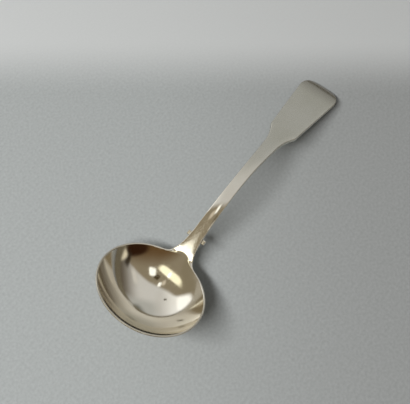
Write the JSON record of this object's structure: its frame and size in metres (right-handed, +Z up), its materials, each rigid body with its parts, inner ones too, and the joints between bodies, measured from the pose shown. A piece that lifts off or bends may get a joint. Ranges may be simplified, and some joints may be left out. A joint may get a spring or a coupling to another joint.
{
  "type": "gravy ladle",
  "caption": "Gravy ladle in one piece: deep oval bowl, rising narrow stem with small pips, flat fiddle-shaped end that turns down at its tip.",
  "frame": {"origin": "where the bowl's underside touches the table, with the ladle lying on the bowl and on the tip of its handle", "axes": "+Z up from the table, +X along the handle towards its tip, +Y across the bowl; the XZ plane is the plane of symmetry"},
  "size_m": [0.1762, 0.0562, 0.0291],
  "materials": {
    "silver": "polished silver, softly worn"
  },
  "bodies": {
    "root": {"ladle": "silver"}
  },
  "joints": []
}
